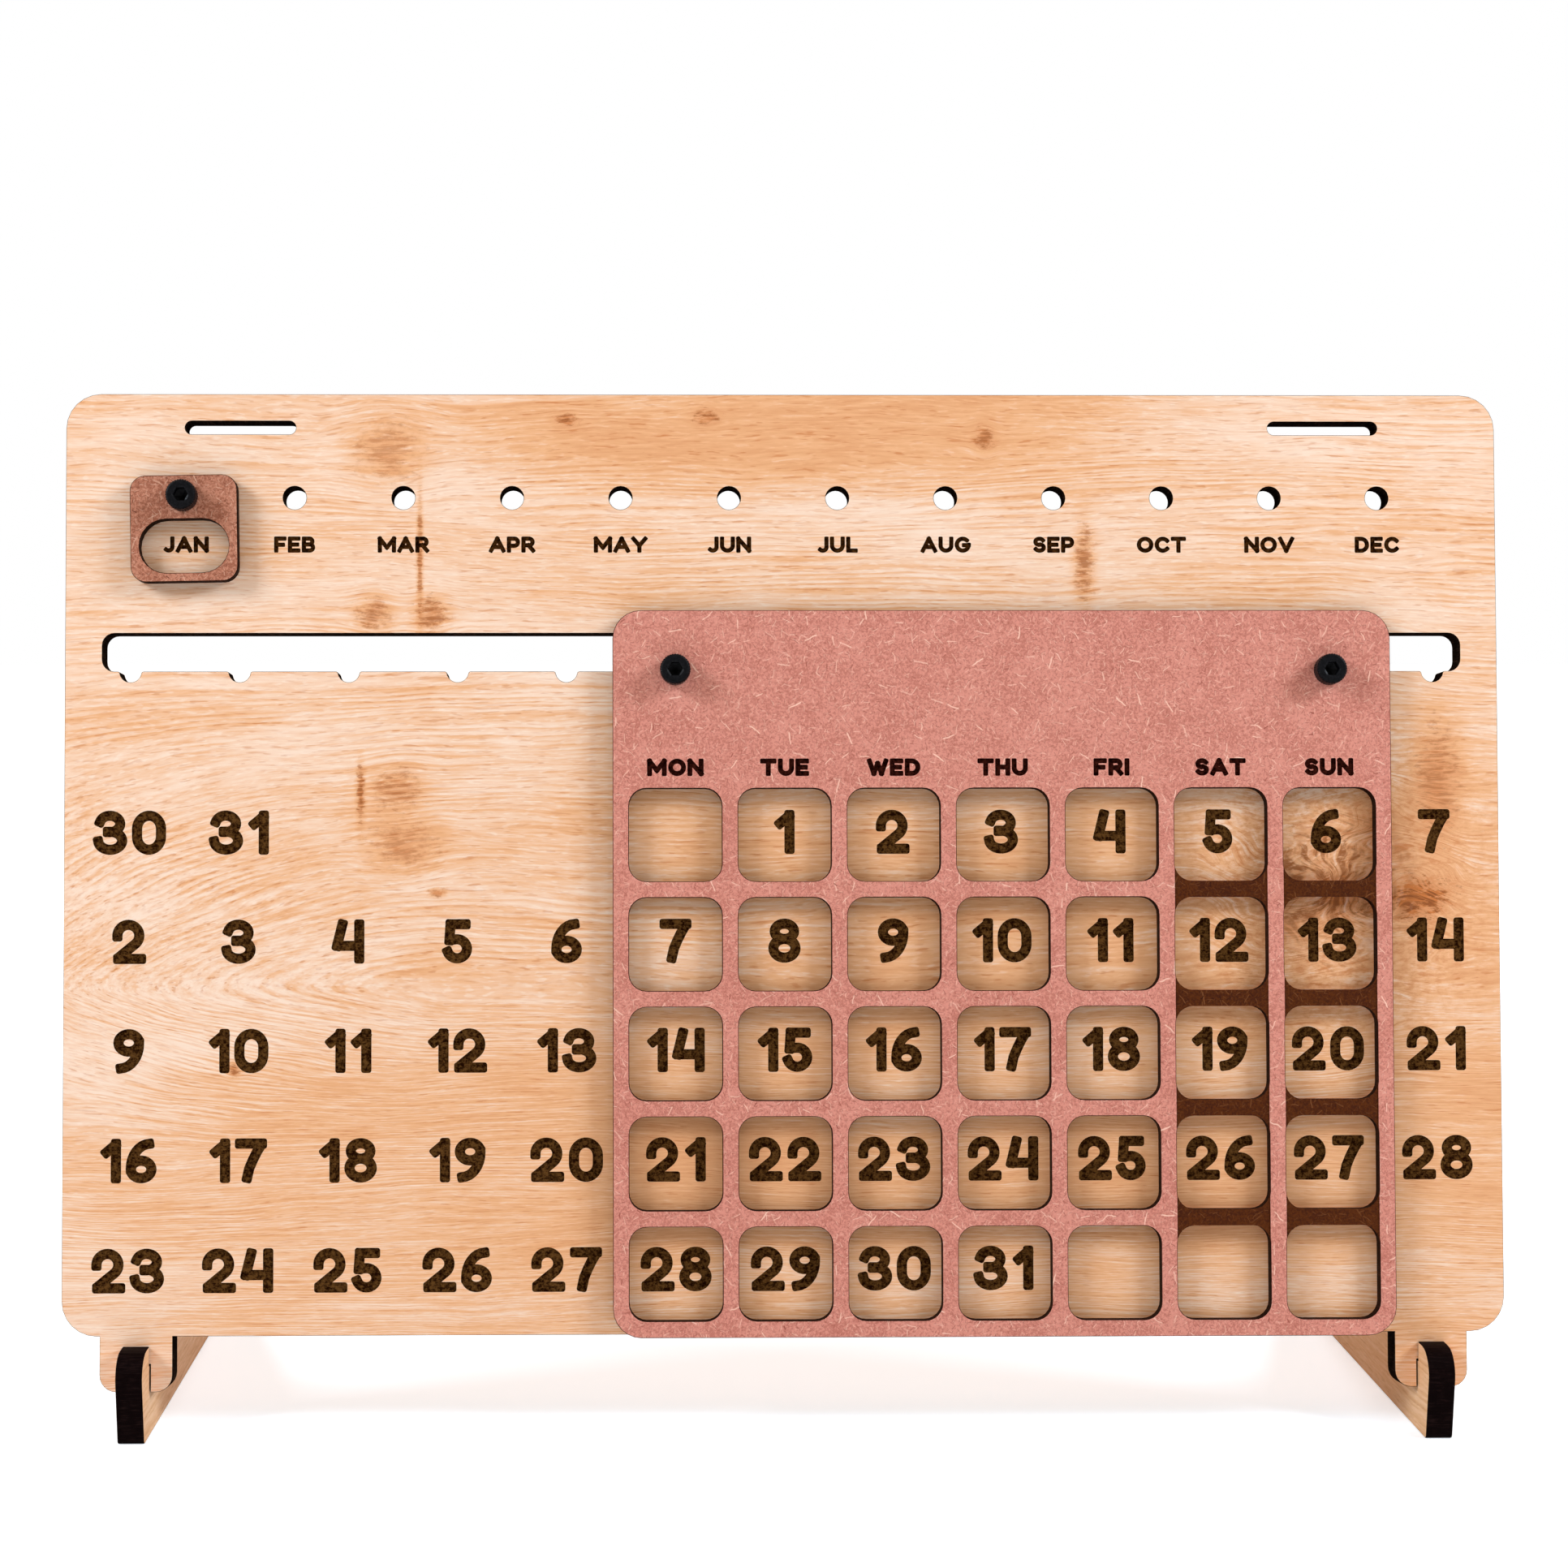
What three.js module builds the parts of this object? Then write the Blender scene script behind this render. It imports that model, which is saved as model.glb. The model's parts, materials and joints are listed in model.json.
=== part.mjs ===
// Perpetual desk calendar: a leaning oak board on two cross-lapped legs, a week frame that hangs by two
// bolts in a notched slot, and a month marker that hangs by one bolt in a row of holes.
// Millimetres, +X to the viewer's right, +Y away from the viewer, +Z up.
import * as THREE from "three";

// Grid of the engraved calendar: day columns, day rows and months share one pitch
const gridPitch = 25;
const dayColumns = 13;
const weekDays = 7;
const weekRows = 5;
const monthCount = 12;

// General fits
const fit = 0.3;
const arcStep = THREE.MathUtils.degToRad(15);
const roundSides = 32;

// Back board
const boardThickness = 6;
const boardSideMargin = 15;
const boardCorner = 8;
const boardTopBand = 24;
const monthBand = 31.3;
const lean = THREE.MathUtils.degToRad(8);

// Long slot and its notches
const slotHeight = 8.8;
const slotCorner = 2.8;
const slotEndFlat = 0.75;
const notchRadius = 2.5;
const notchLip = 0.5;

// Month holes and hanging slots
const monthHoleRadius = 2.7;
const hangingSlotLength = 25.5;
const hangingSlotWidth = 3.1;
const hangingSlotDrop = 7.75;
const hangingSlotInset = 40;

// Tabs under the board
const tabShoulder = 0.7;
const tabCheek = 5;
const tabDepth = 12.6;
const tabCorner = 3.8;
const tabGroundClearance = 10;
const lapShare = 0.5;

// Legs
const legThickness = 6;
const legLength = 104;
const legToeRadius = 1;
const fingerReach = 10;
const fingerUndercut = 1.5;
const fingerTopDrop = 2.2;
const fingerRadius = 6;
const heelRise = 9;
const heelDepth = 12;
const heelRadius = 6;
const tailHeight = 9;
const tailRadius = 3.5;

// Week frame and month marker
const plateThickness = 3;
const windowWeb = 3.7;
const windowCorner = 4;
const frameBorder = 3.7;
const frameBottomBorder = 3.8;
const frameHeader = 40.9;
const frameCorner = 6.5;
const frameBoltDrop = 13.9;
const frameHang = 0.4;
const notchCountBeforeFrame = 5;
const markerSize = 24.5;
const markerCorner = 3.5;
const markerBoltDrop = 5.1;
const markerHeadBand = 10.1;
const markerRim = 2;
const markerTilt = THREE.MathUtils.degToRad(1);
const monthCountBeforeMarker = 0;

// Bolts, washers and nuts
const boltRadius = 2;
const boltHeadRadius = 3.5;
const boltHeadHeight = 4;
const boltHeadChamfer = 0.4;
const boltTipChamfer = 0.4;
const frameBoltTail = 1.6;
const markerBoltTail = 2.1;
const washerRadius = 6;
const washerThickness = 1;
const nutAcrossFlats = 7;
const nutThickness = 3.2;
const nutSides = 6;

// Sizes that follow from the ones above
const windowSize = gridPitch - windowWeb;
const weekSpan = (weekDays - 1) * gridPitch;
const frameWidth = weekSpan + windowSize + 2 * frameBorder;
const frameHeight = frameHeader + windowSize + (weekRows - 1) * gridPitch + frameBottomBorder;
const notchSeat = notchRadius - boltRadius - fit;
const slotBottom = frameHeight - frameBoltDrop - frameHang + notchSeat;
const slotTop = slotBottom + slotHeight;
const lipReach = Math.sqrt((notchRadius + notchLip) ** 2 - notchLip ** 2);
const slotEndMargin = slotCorner + slotEndFlat + lipReach;
const daySpan = (dayColumns - 1) * gridPitch;
const boardWidth = daySpan + 2 * boardSideMargin;
const monthRow = slotTop + monthBand;
const boardHeight = monthRow + boardTopBand;
const tabSlotWidth = legThickness + 2 * fit;
const tabWidth = tabSlotWidth + 2 * tabCheek;
const tabCentre = boardWidth / 2 - boardCorner - tabShoulder - tabWidth / 2;
const tabSlotTop = -tabDepth * lapShare;
const boardRise = tabDepth * Math.cos(lean) + tabGroundClearance;
const boltHole = boltRadius + fit;
const plateBack = fit;
const plateFront = plateBack + plateThickness;
const headSeat = plateFront + fit;
const washerFront = -boardThickness - fit;
const nutFront = washerFront - washerThickness - fit;
const frameBoltTip = nutFront - nutThickness - frameBoltTail;
const markerBoltTip = -boardThickness - markerBoltTail;

// Finishes
const finish = (color, roughness, metalness = 0) =>
  new THREE.MeshStandardMaterial({ color, roughness, metalness });
const oak = finish(0xe3b889, 0.55);
const pinkBoard = finish(0xd08478, 0.7);
const brownBoard = finish(0x9c6a4c, 0.7);
const legWood = finish(0xe8c9a8, 0.6);
const blackSteel = finish(0x17171a, 0.35, 1);
const zincSteel = finish(0xb4b6b8, 0.35, 1);

// Points of an arc about a centre, both ends included. A negative sweep runs clockwise.
function arc(x, y, radius, from, sweep) {
  const steps = Math.max(1, Math.ceil(Math.abs(sweep) / arcStep));
  return Array.from({ length: steps + 1 }, (_, i) => {
    const angle = from + (sweep * i) / steps;
    return new THREE.Vector2(x + radius * Math.cos(angle), y + radius * Math.sin(angle));
  });
}

// Outline through corners given as [x, y, fillet radius], with each fillet tangent to both its edges.
function filleted(corners) {
  return corners.flatMap(([x, y, radius = 0], i) => {
    const corner = new THREE.Vector2(x, y);
    if (radius === 0) return [corner];
    const before = new THREE.Vector2(...corners.at(i - 1)).sub(corner);
    const after = new THREE.Vector2(...corners[(i + 1) % corners.length]).sub(corner);
    const half = Math.acos(before.dot(after) / before.length() / after.length()) / 2;
    const middle = before.clone().normalize().add(after.clone().normalize()).normalize();
    const centre = corner.clone().addScaledVector(middle, radius / Math.sin(half));
    const start = corner.clone().addScaledVector(before.normalize(), radius / Math.tan(half));
    const turn = Math.sign(after.cross(before));
    return arc(centre.x, centre.y, radius, start.sub(centre).angle(), turn * (Math.PI - 2 * half));
  });
}

// Rectangle about a centre, with equal fillets.
function roundedRectangle(x, y, width, height, radius) {
  const left = x - width / 2;
  const right = x + width / 2;
  const low = y - height / 2;
  const high = y + height / 2;
  return filleted([
    [left, low, radius],
    [right, low, radius],
    [right, high, radius],
    [left, high, radius],
  ]);
}

// Slot with half-round ends, lying along X.
function stadium(x, y, length, width) {
  const reach = (length - width) / 2;
  return [
    ...arc(x + reach, y, width / 2, -Math.PI / 2, Math.PI),
    ...arc(x - reach, y, width / 2, Math.PI / 2, Math.PI),
  ];
}

// Full circle, without the repeated last point.
function circle(x, y, radius) {
  return arc(x, y, radius, 0, 2 * Math.PI).slice(0, -1);
}

// Flat plate cut from an outline with holes, its lower face at the given height.
function plate(outline, holes, bottom, thickness) {
  const shape = new THREE.Shape(outline);
  shape.holes = holes.map((hole) => new THREE.Path(hole));
  const geometry = new THREE.ExtrudeGeometry(shape, { depth: thickness, bevelEnabled: false });
  return geometry.translate(0, 0, bottom);
}

// Solid of revolution about Z from a profile of [radius, height] pairs.
function turned(profile) {
  const points = profile.map(([radius, height]) => new THREE.Vector2(radius, height));
  return new THREE.LatheGeometry(points, roundSides).rotateX(Math.PI / 2);
}

function named(name, geometry, material) {
  const mesh = new THREE.Mesh(geometry, material);
  mesh.name = name;
  return mesh;
}

// Place of a copy in a row of equal steps centred on zero.
const inRow = (index, count, pitch) => (index - (count - 1) / 2) * pitch;

// One notch of the long slot, cut down from the slot's lower edge with its two lips rounded.
function notch(x) {
  const lipTurn = Math.asin(lipReach / (notchRadius + notchLip));
  const bowlStart = Math.PI + Math.PI / 2 - lipTurn;
  return [
    ...arc(x - lipReach, slotBottom - notchLip, notchLip, Math.PI / 2, -lipTurn),
    ...arc(x, slotBottom, notchRadius, bowlStart, 2 * lipTurn).slice(1, -1),
    ...arc(x + lipReach, slotBottom - notchLip, notchLip, Math.PI / 2 + lipTurn, -lipTurn),
  ];
}

// The long slot with one notch under every day column.
function notchedSlot() {
  const end = daySpan / 2 + slotEndMargin;
  const cornerX = end - slotCorner;
  const low = slotBottom + slotCorner;
  const high = slotTop - slotCorner;
  const quarter = Math.PI / 2;
  const notches = Array.from({ length: dayColumns }, (_, i) => notch(inRow(i, dayColumns, gridPitch)));
  return [
    ...arc(-cornerX, low, slotCorner, Math.PI, quarter),
    ...notches.flat(),
    ...arc(cornerX, low, slotCorner, -quarter, quarter),
    ...arc(cornerX, high, slotCorner, 0, quarter),
    ...arc(-cornerX, high, slotCorner, quarter, quarter),
  ];
}

// A tab under the board, with the cross-lap slot that takes the leg open at its lower end.
function tabCorners(x) {
  const outer = tabWidth / 2;
  const inner = tabSlotWidth / 2;
  return [
    [x - outer, 0],
    [x - outer, -tabDepth, tabCorner],
    [x - inner, -tabDepth],
    [x - inner, tabSlotTop],
    [x + inner, tabSlotTop],
    [x + inner, -tabDepth],
    [x + outer, -tabDepth, tabCorner],
    [x + outer, 0],
  ];
}

// The board lies in its own plane: X across, Y up from its lower edge, front face at zero.
function backBoard() {
  const side = boardWidth / 2;
  const outline = filleted([
    [-side, 0, boardCorner],
    ...tabCorners(-tabCentre),
    ...tabCorners(tabCentre),
    [side, 0, boardCorner],
    [side, boardHeight, boardCorner],
    [-side, boardHeight, boardCorner],
  ]);
  const monthHoles = Array.from({ length: monthCount }, (_, i) =>
    circle(inRow(i, monthCount, gridPitch), monthRow, monthHoleRadius),
  );
  const hangingSlots = [-1, 1].map((sideSign) =>
    stadium(
      sideSign * (side - hangingSlotInset),
      boardHeight - hangingSlotDrop,
      hangingSlotLength,
      hangingSlotWidth,
    ),
  );
  const holes = [notchedSlot(), ...monthHoles, ...hangingSlots];
  return named("back_board", plate(outline, holes, -boardThickness, boardThickness), oak);
}

// A point of the board's plane system, seen from the side, as [y, z] of the upright system.
const fromBoard = (up, out) => [
  up * Math.sin(lean) - out * Math.cos(lean),
  boardRise + up * Math.cos(lean) + out * Math.sin(lean),
];

// Leg seen from the side: a round-nosed finger before the board, a bridge under its tab, a heel that
// bears on the board's back and a tail that tapers down behind.
function legOutline() {
  const fingerTop = boardRise - fingerTopDrop;
  const heelTop = boardRise + heelRise;
  const alongWall = (out, height) => {
    const [y, z] = fromBoard(0, out);
    return [y + (height - z) * Math.tan(lean), height];
  };
  const front = alongWall(0, fingerTop)[0] - fingerReach;
  const rear = front + legLength;
  const frontWall = fit;
  const backWall = -boardThickness - fit;
  const heelFront = alongWall(backWall, heelTop);
  return filleted([
    [front + fingerUndercut, 0, legToeRadius],
    [rear, 0, tailRadius],
    [rear, tailHeight, tailRadius],
    [heelFront[0] + heelDepth, heelTop, heelRadius],
    heelFront,
    fromBoard(tabSlotTop - fit, backWall),
    fromBoard(tabSlotTop - fit, frontWall),
    alongWall(frontWall, fingerTop),
    [front, fingerTop, fingerRadius],
  ]);
}

function leg(name, x) {
  const mesh = named(name, plate(legOutline(), [], -legThickness / 2, legThickness), legWood);
  const upright = new THREE.Matrix4().makeBasis(
    new THREE.Vector3(0, 1, 0),
    new THREE.Vector3(0, 0, 1),
    new THREE.Vector3(1, 0, 0),
  );
  mesh.quaternion.setFromRotationMatrix(upright);
  mesh.position.x = x;
  return mesh;
}

// Socket head cap screw on the Z axis, head outwards.
function bolt(name, tip) {
  const profile = [
    [0, tip],
    [boltRadius - boltTipChamfer, tip],
    [boltRadius, tip + boltTipChamfer],
    [boltRadius, headSeat],
    [boltHeadRadius, headSeat],
    [boltHeadRadius, headSeat + boltHeadHeight - boltHeadChamfer],
    [boltHeadRadius - boltHeadChamfer, headSeat + boltHeadHeight],
    [0, headSeat + boltHeadHeight],
  ];
  return named(name, turned(profile), blackSteel);
}

function washer(name) {
  const outline = circle(0, 0, washerRadius);
  const bore = circle(0, 0, boltHole);
  const bottom = washerFront - washerThickness;
  return named(name, plate(outline, [bore], bottom, washerThickness), zincSteel);
}

function nut(name) {
  const corner = nutAcrossFlats / 2 / Math.cos(Math.PI / nutSides);
  const outline = Array.from({ length: nutSides }, (_, i) => {
    const angle = (2 * Math.PI * i) / nutSides;
    return new THREE.Vector2(corner * Math.cos(angle), corner * Math.sin(angle));
  });
  const bore = circle(0, 0, boltHole);
  return named(name, plate(outline, [bore], nutFront - nutThickness, nutThickness), zincSteel);
}

// Week frame with its origin midway between its two bolts, and the bolts with what holds them.
function weekSlider() {
  const top = frameBoltDrop;
  const outline = roundedRectangle(0, top - frameHeight / 2, frameWidth, frameHeight, frameCorner);
  const firstRow = top - frameHeader - windowSize / 2;
  const windows = Array.from({ length: weekDays * weekRows }, (_, i) => {
    const x = inRow(i % weekDays, weekDays, gridPitch);
    const y = firstRow - Math.floor(i / weekDays) * gridPitch;
    return roundedRectangle(x, y, windowSize, windowSize, windowCorner);
  });
  const boltHoles = [-1, 1].map((side) => circle((side * weekSpan) / 2, 0, boltHole));
  const slider = new THREE.Group();
  slider.add(
    named("week_frame", plate(outline, [...windows, ...boltHoles], plateBack, plateThickness), pinkBoard),
  );
  for (const [side, word] of [
    [-1, "left"],
    [1, "right"],
  ]) {
    const hardware = new THREE.Group();
    hardware.add(
      bolt(`frame_bolt_${word}`, frameBoltTip),
      washer(`frame_washer_${word}`),
      nut(`frame_nut_${word}`),
    );
    hardware.position.x = (side * weekSpan) / 2;
    slider.add(hardware);
  }
  const leftNotch = inRow(notchCountBeforeFrame, dayColumns, gridPitch);
  slider.position.set(leftNotch + weekSpan / 2, slotBottom - notchSeat, 0);
  return slider;
}

// Month marker with its origin on its bolt, resting low in the month's hole.
function monthMarker() {
  const top = markerBoltDrop;
  const outline = roundedRectangle(0, top - markerSize / 2, markerSize, markerSize, markerCorner);
  const windowHeight = markerSize - markerHeadBand - markerRim;
  const windowY = top - markerHeadBand - windowHeight / 2;
  const window = stadium(0, windowY, markerSize - 2 * markerRim, windowHeight);
  const holes = [window, circle(0, 0, boltHole)];
  const marker = new THREE.Group();
  marker.add(
    named("month_marker", plate(outline, holes, plateBack, plateThickness), brownBoard),
    bolt("marker_bolt", markerBoltTip),
  );
  const seat = monthHoleRadius - boltRadius - fit;
  marker.position.set(inRow(monthCountBeforeMarker, monthCount, gridPitch), monthRow - seat, 0);
  marker.rotation.z = markerTilt;
  return marker;
}

const leaning = new THREE.Group();
leaning.add(backBoard(), weekSlider(), monthMarker());
leaning.rotation.x = Math.PI / 2 - lean;
leaning.position.z = boardRise;

const calendar = new THREE.Group();
calendar.add(leaning, leg("left_leg", -tabCentre), leg("right_leg", tabCentre));

// The origin lies on the table, under the middle of the whole calendar.
calendar.updateMatrixWorld(true);
const bounds = new THREE.Box3().setFromObject(calendar, true);
calendar.position.y = -(bounds.min.y + bounds.max.y) / 2;

export default calendar;
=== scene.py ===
"""Perpetual desk calendar: the looks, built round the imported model.

Plans are in millimetres in a plate's own plane: x across, y up the plate, z out of its front.
Objects are in metres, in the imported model's frame: +X right, +Y back, +Z up.
"""

import json
import math
from collections import namedtuple

import bmesh
import bpy
from mathutils import Matrix, Vector
from mathutils.geometry import delaunay_2d_cdt


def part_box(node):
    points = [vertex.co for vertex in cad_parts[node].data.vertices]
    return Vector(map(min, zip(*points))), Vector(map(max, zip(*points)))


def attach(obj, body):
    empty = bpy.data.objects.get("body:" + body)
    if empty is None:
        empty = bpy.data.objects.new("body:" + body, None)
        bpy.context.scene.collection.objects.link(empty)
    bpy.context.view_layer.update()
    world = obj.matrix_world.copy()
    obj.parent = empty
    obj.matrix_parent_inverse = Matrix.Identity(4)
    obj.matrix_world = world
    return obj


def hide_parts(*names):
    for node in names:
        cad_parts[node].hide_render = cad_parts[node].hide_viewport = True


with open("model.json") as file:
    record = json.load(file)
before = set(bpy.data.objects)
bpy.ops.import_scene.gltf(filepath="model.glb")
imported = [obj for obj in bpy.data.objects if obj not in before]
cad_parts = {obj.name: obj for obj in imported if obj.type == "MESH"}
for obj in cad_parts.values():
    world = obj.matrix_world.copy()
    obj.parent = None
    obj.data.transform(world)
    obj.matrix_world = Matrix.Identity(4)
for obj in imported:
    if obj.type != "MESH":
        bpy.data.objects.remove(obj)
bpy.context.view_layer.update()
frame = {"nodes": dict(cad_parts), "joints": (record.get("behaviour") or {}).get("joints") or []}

MM = 0.001

# Calendar grid and plate positions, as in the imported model
PITCH = 25.0
COLUMNS = 13
ROWS = 5
WEEK = 7
FIRST_DAY = -5
MONTH_LENGTH = 31
LONGEST_WRAP = 35
TAB_DEPTH = 12.6
BOARD_THICKNESS = 6.0
PLATE_THICKNESS = 3.0
LEG_THICKNESS = 6.0
PLATE_BACK = 0.3
PLATE_FRONT = PLATE_BACK + PLATE_THICKNESS
SLIDER_AT = (50.0, 151.7)
MARKER_AT = (-137.5, 191.6)
MARKER_TILT = math.radians(1.0)
LEG_AT = 148.0

# Windows of the week frame, from the point midway between its bolts
WINDOW = 21.3
WINDOW_CORNER = 4.0
FIRST_WINDOW_ROW = -37.65
WEEKEND = (5, 6)

# Engraving
NUMERAL_HEIGHT = 10.15
NUMERAL_STROKE = 2.35
NUMERAL_GAP = 1.05
NUMERAL_ROW = 114.85
MONTH_LETTER_HEIGHT = 3.75
MONTH_LETTER_STROKE = 1.0
MONTH_LETTER_GAP = 0.28
MONTH_LETTER_ROW = 181.2
DAY_LETTER_HEIGHT = 4.0
DAY_LETTER_STROKE = 1.15
DAY_LETTER_GAP = 0.3
DAY_LETTER_ROW = FIRST_WINDOW_ROW + WINDOW / 2 + 4.8
ENGRAVING_DEPTH = 0.3
BAND_DEPTH = 0.2
RASTER_PITCH = 0.28
DAY_RASTER_PITCH = 0.3
ARC_STEP = math.radians(12)
CAP_ROUNDING = 0.5
CAP_STEPS = 4

# Burnt rims left by the cutting
BOARD_RIM = 0.1
PLATE_RIM = 0.14
LEG_RIM = 0.12

# Places of a plate's materials
FACE, EDGE, BURN, SECOND_BURN = range(4)

# Screws, from the front of the board at zero. The shoulder is in shares of the chamfer.
HEAD_SEAT = 3.6
HEAD_HEIGHT = 4.0
HEAD_RADIUS = 3.5
HEAD_FOOT = 0.25
HEAD_FOOT_INSET = 0.02
HEAD_CHAMFER = 0.45
HEAD_SHOULDER = (0.45, 0.4)
HEAD_ROUNDING = 0.04
HEAD_TOP_INSET = 0.1
KNURL_DEPTH = 0.14
KNURL_START = 0.45
SOCKET_FLATS = 3.0
SOCKET_DEPTH = 2.2
SOCKET_CHAMFER = 0.2
SOCKET_CONE = 0.7
SHANK_RADIUS = 2.0
THREAD_PITCH = 0.7
THREAD_DEPTH = 0.28
THREAD_STEPS = 5
THREAD_START = 0.4
THREAD_RUNOUT = 0.3
TIP_CHAMFER = (0.1, 0.25)
NECK = 0.15
FRAME_BOLT_TIP = -12.4
MARKER_BOLT_TIP = -8.1
SPIN = 72

# Washers and nuts, from the front of the board at zero
BORE_RADIUS = 2.3
WASHER_FRONT = -6.3
WASHER_THICKNESS = 1.0
WASHER_RADIUS = 6.0
WASHER_ROUNDING = 0.12
NUT_FRONT = -7.6
NUT_THICKNESS = 3.2
NUT_FLATS = 7.0
NUT_FACE = 0.96
NUT_CHAMFER = math.radians(30)
BORE_CHAMFER = 0.3

# Camera, lamps and surroundings, in metres
CAMERA_AT = (-0.0298, -0.6330, 0.1920)
CAMERA_DOWN = math.radians(6.14)
CAMERA_TURN = math.radians(-0.82)
CAMERA_SENSOR = 36.0
CAMERA_LENS = 60.9
CAMERA_SHIFT = (0.0585, 0.0569)
CAMERA_CLIP = (0.01, 100.0)
LAMP_WHITE = (0.80, 0.90, 1.0)
LAMPS = (
    ("left_softbox", (-1.0, -0.42, 0.8), (-0.05, 0, 0.12), 0.4, 13.3),
    ("right_softbox", (1.0, -0.42, 0.8), (0.05, 0, 0.12), 0.4, 13.3),
    ("rear_softbox", (0.1, 1.0, 0.9), (0, 0, 0.1), 0.8, 11.0),
)
FLOOR_SIZE = 12.0
FLOOR_COLOR = (0.83, 0.87, 0.92)
FLOOR_GLOW = (0.95, 0.97, 1.0)
GLOW_RISE = (0.3, 1.0, 0.4, 1.0)
AMBIENT_COLOR = (1.0, 0.66, 0.3)
AMBIENT_STRENGTH = 0.27
BACKDROP_COLOR = (1.0, 1.0, 1.0)
BACKDROP_STRENGTH = 1.0

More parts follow.
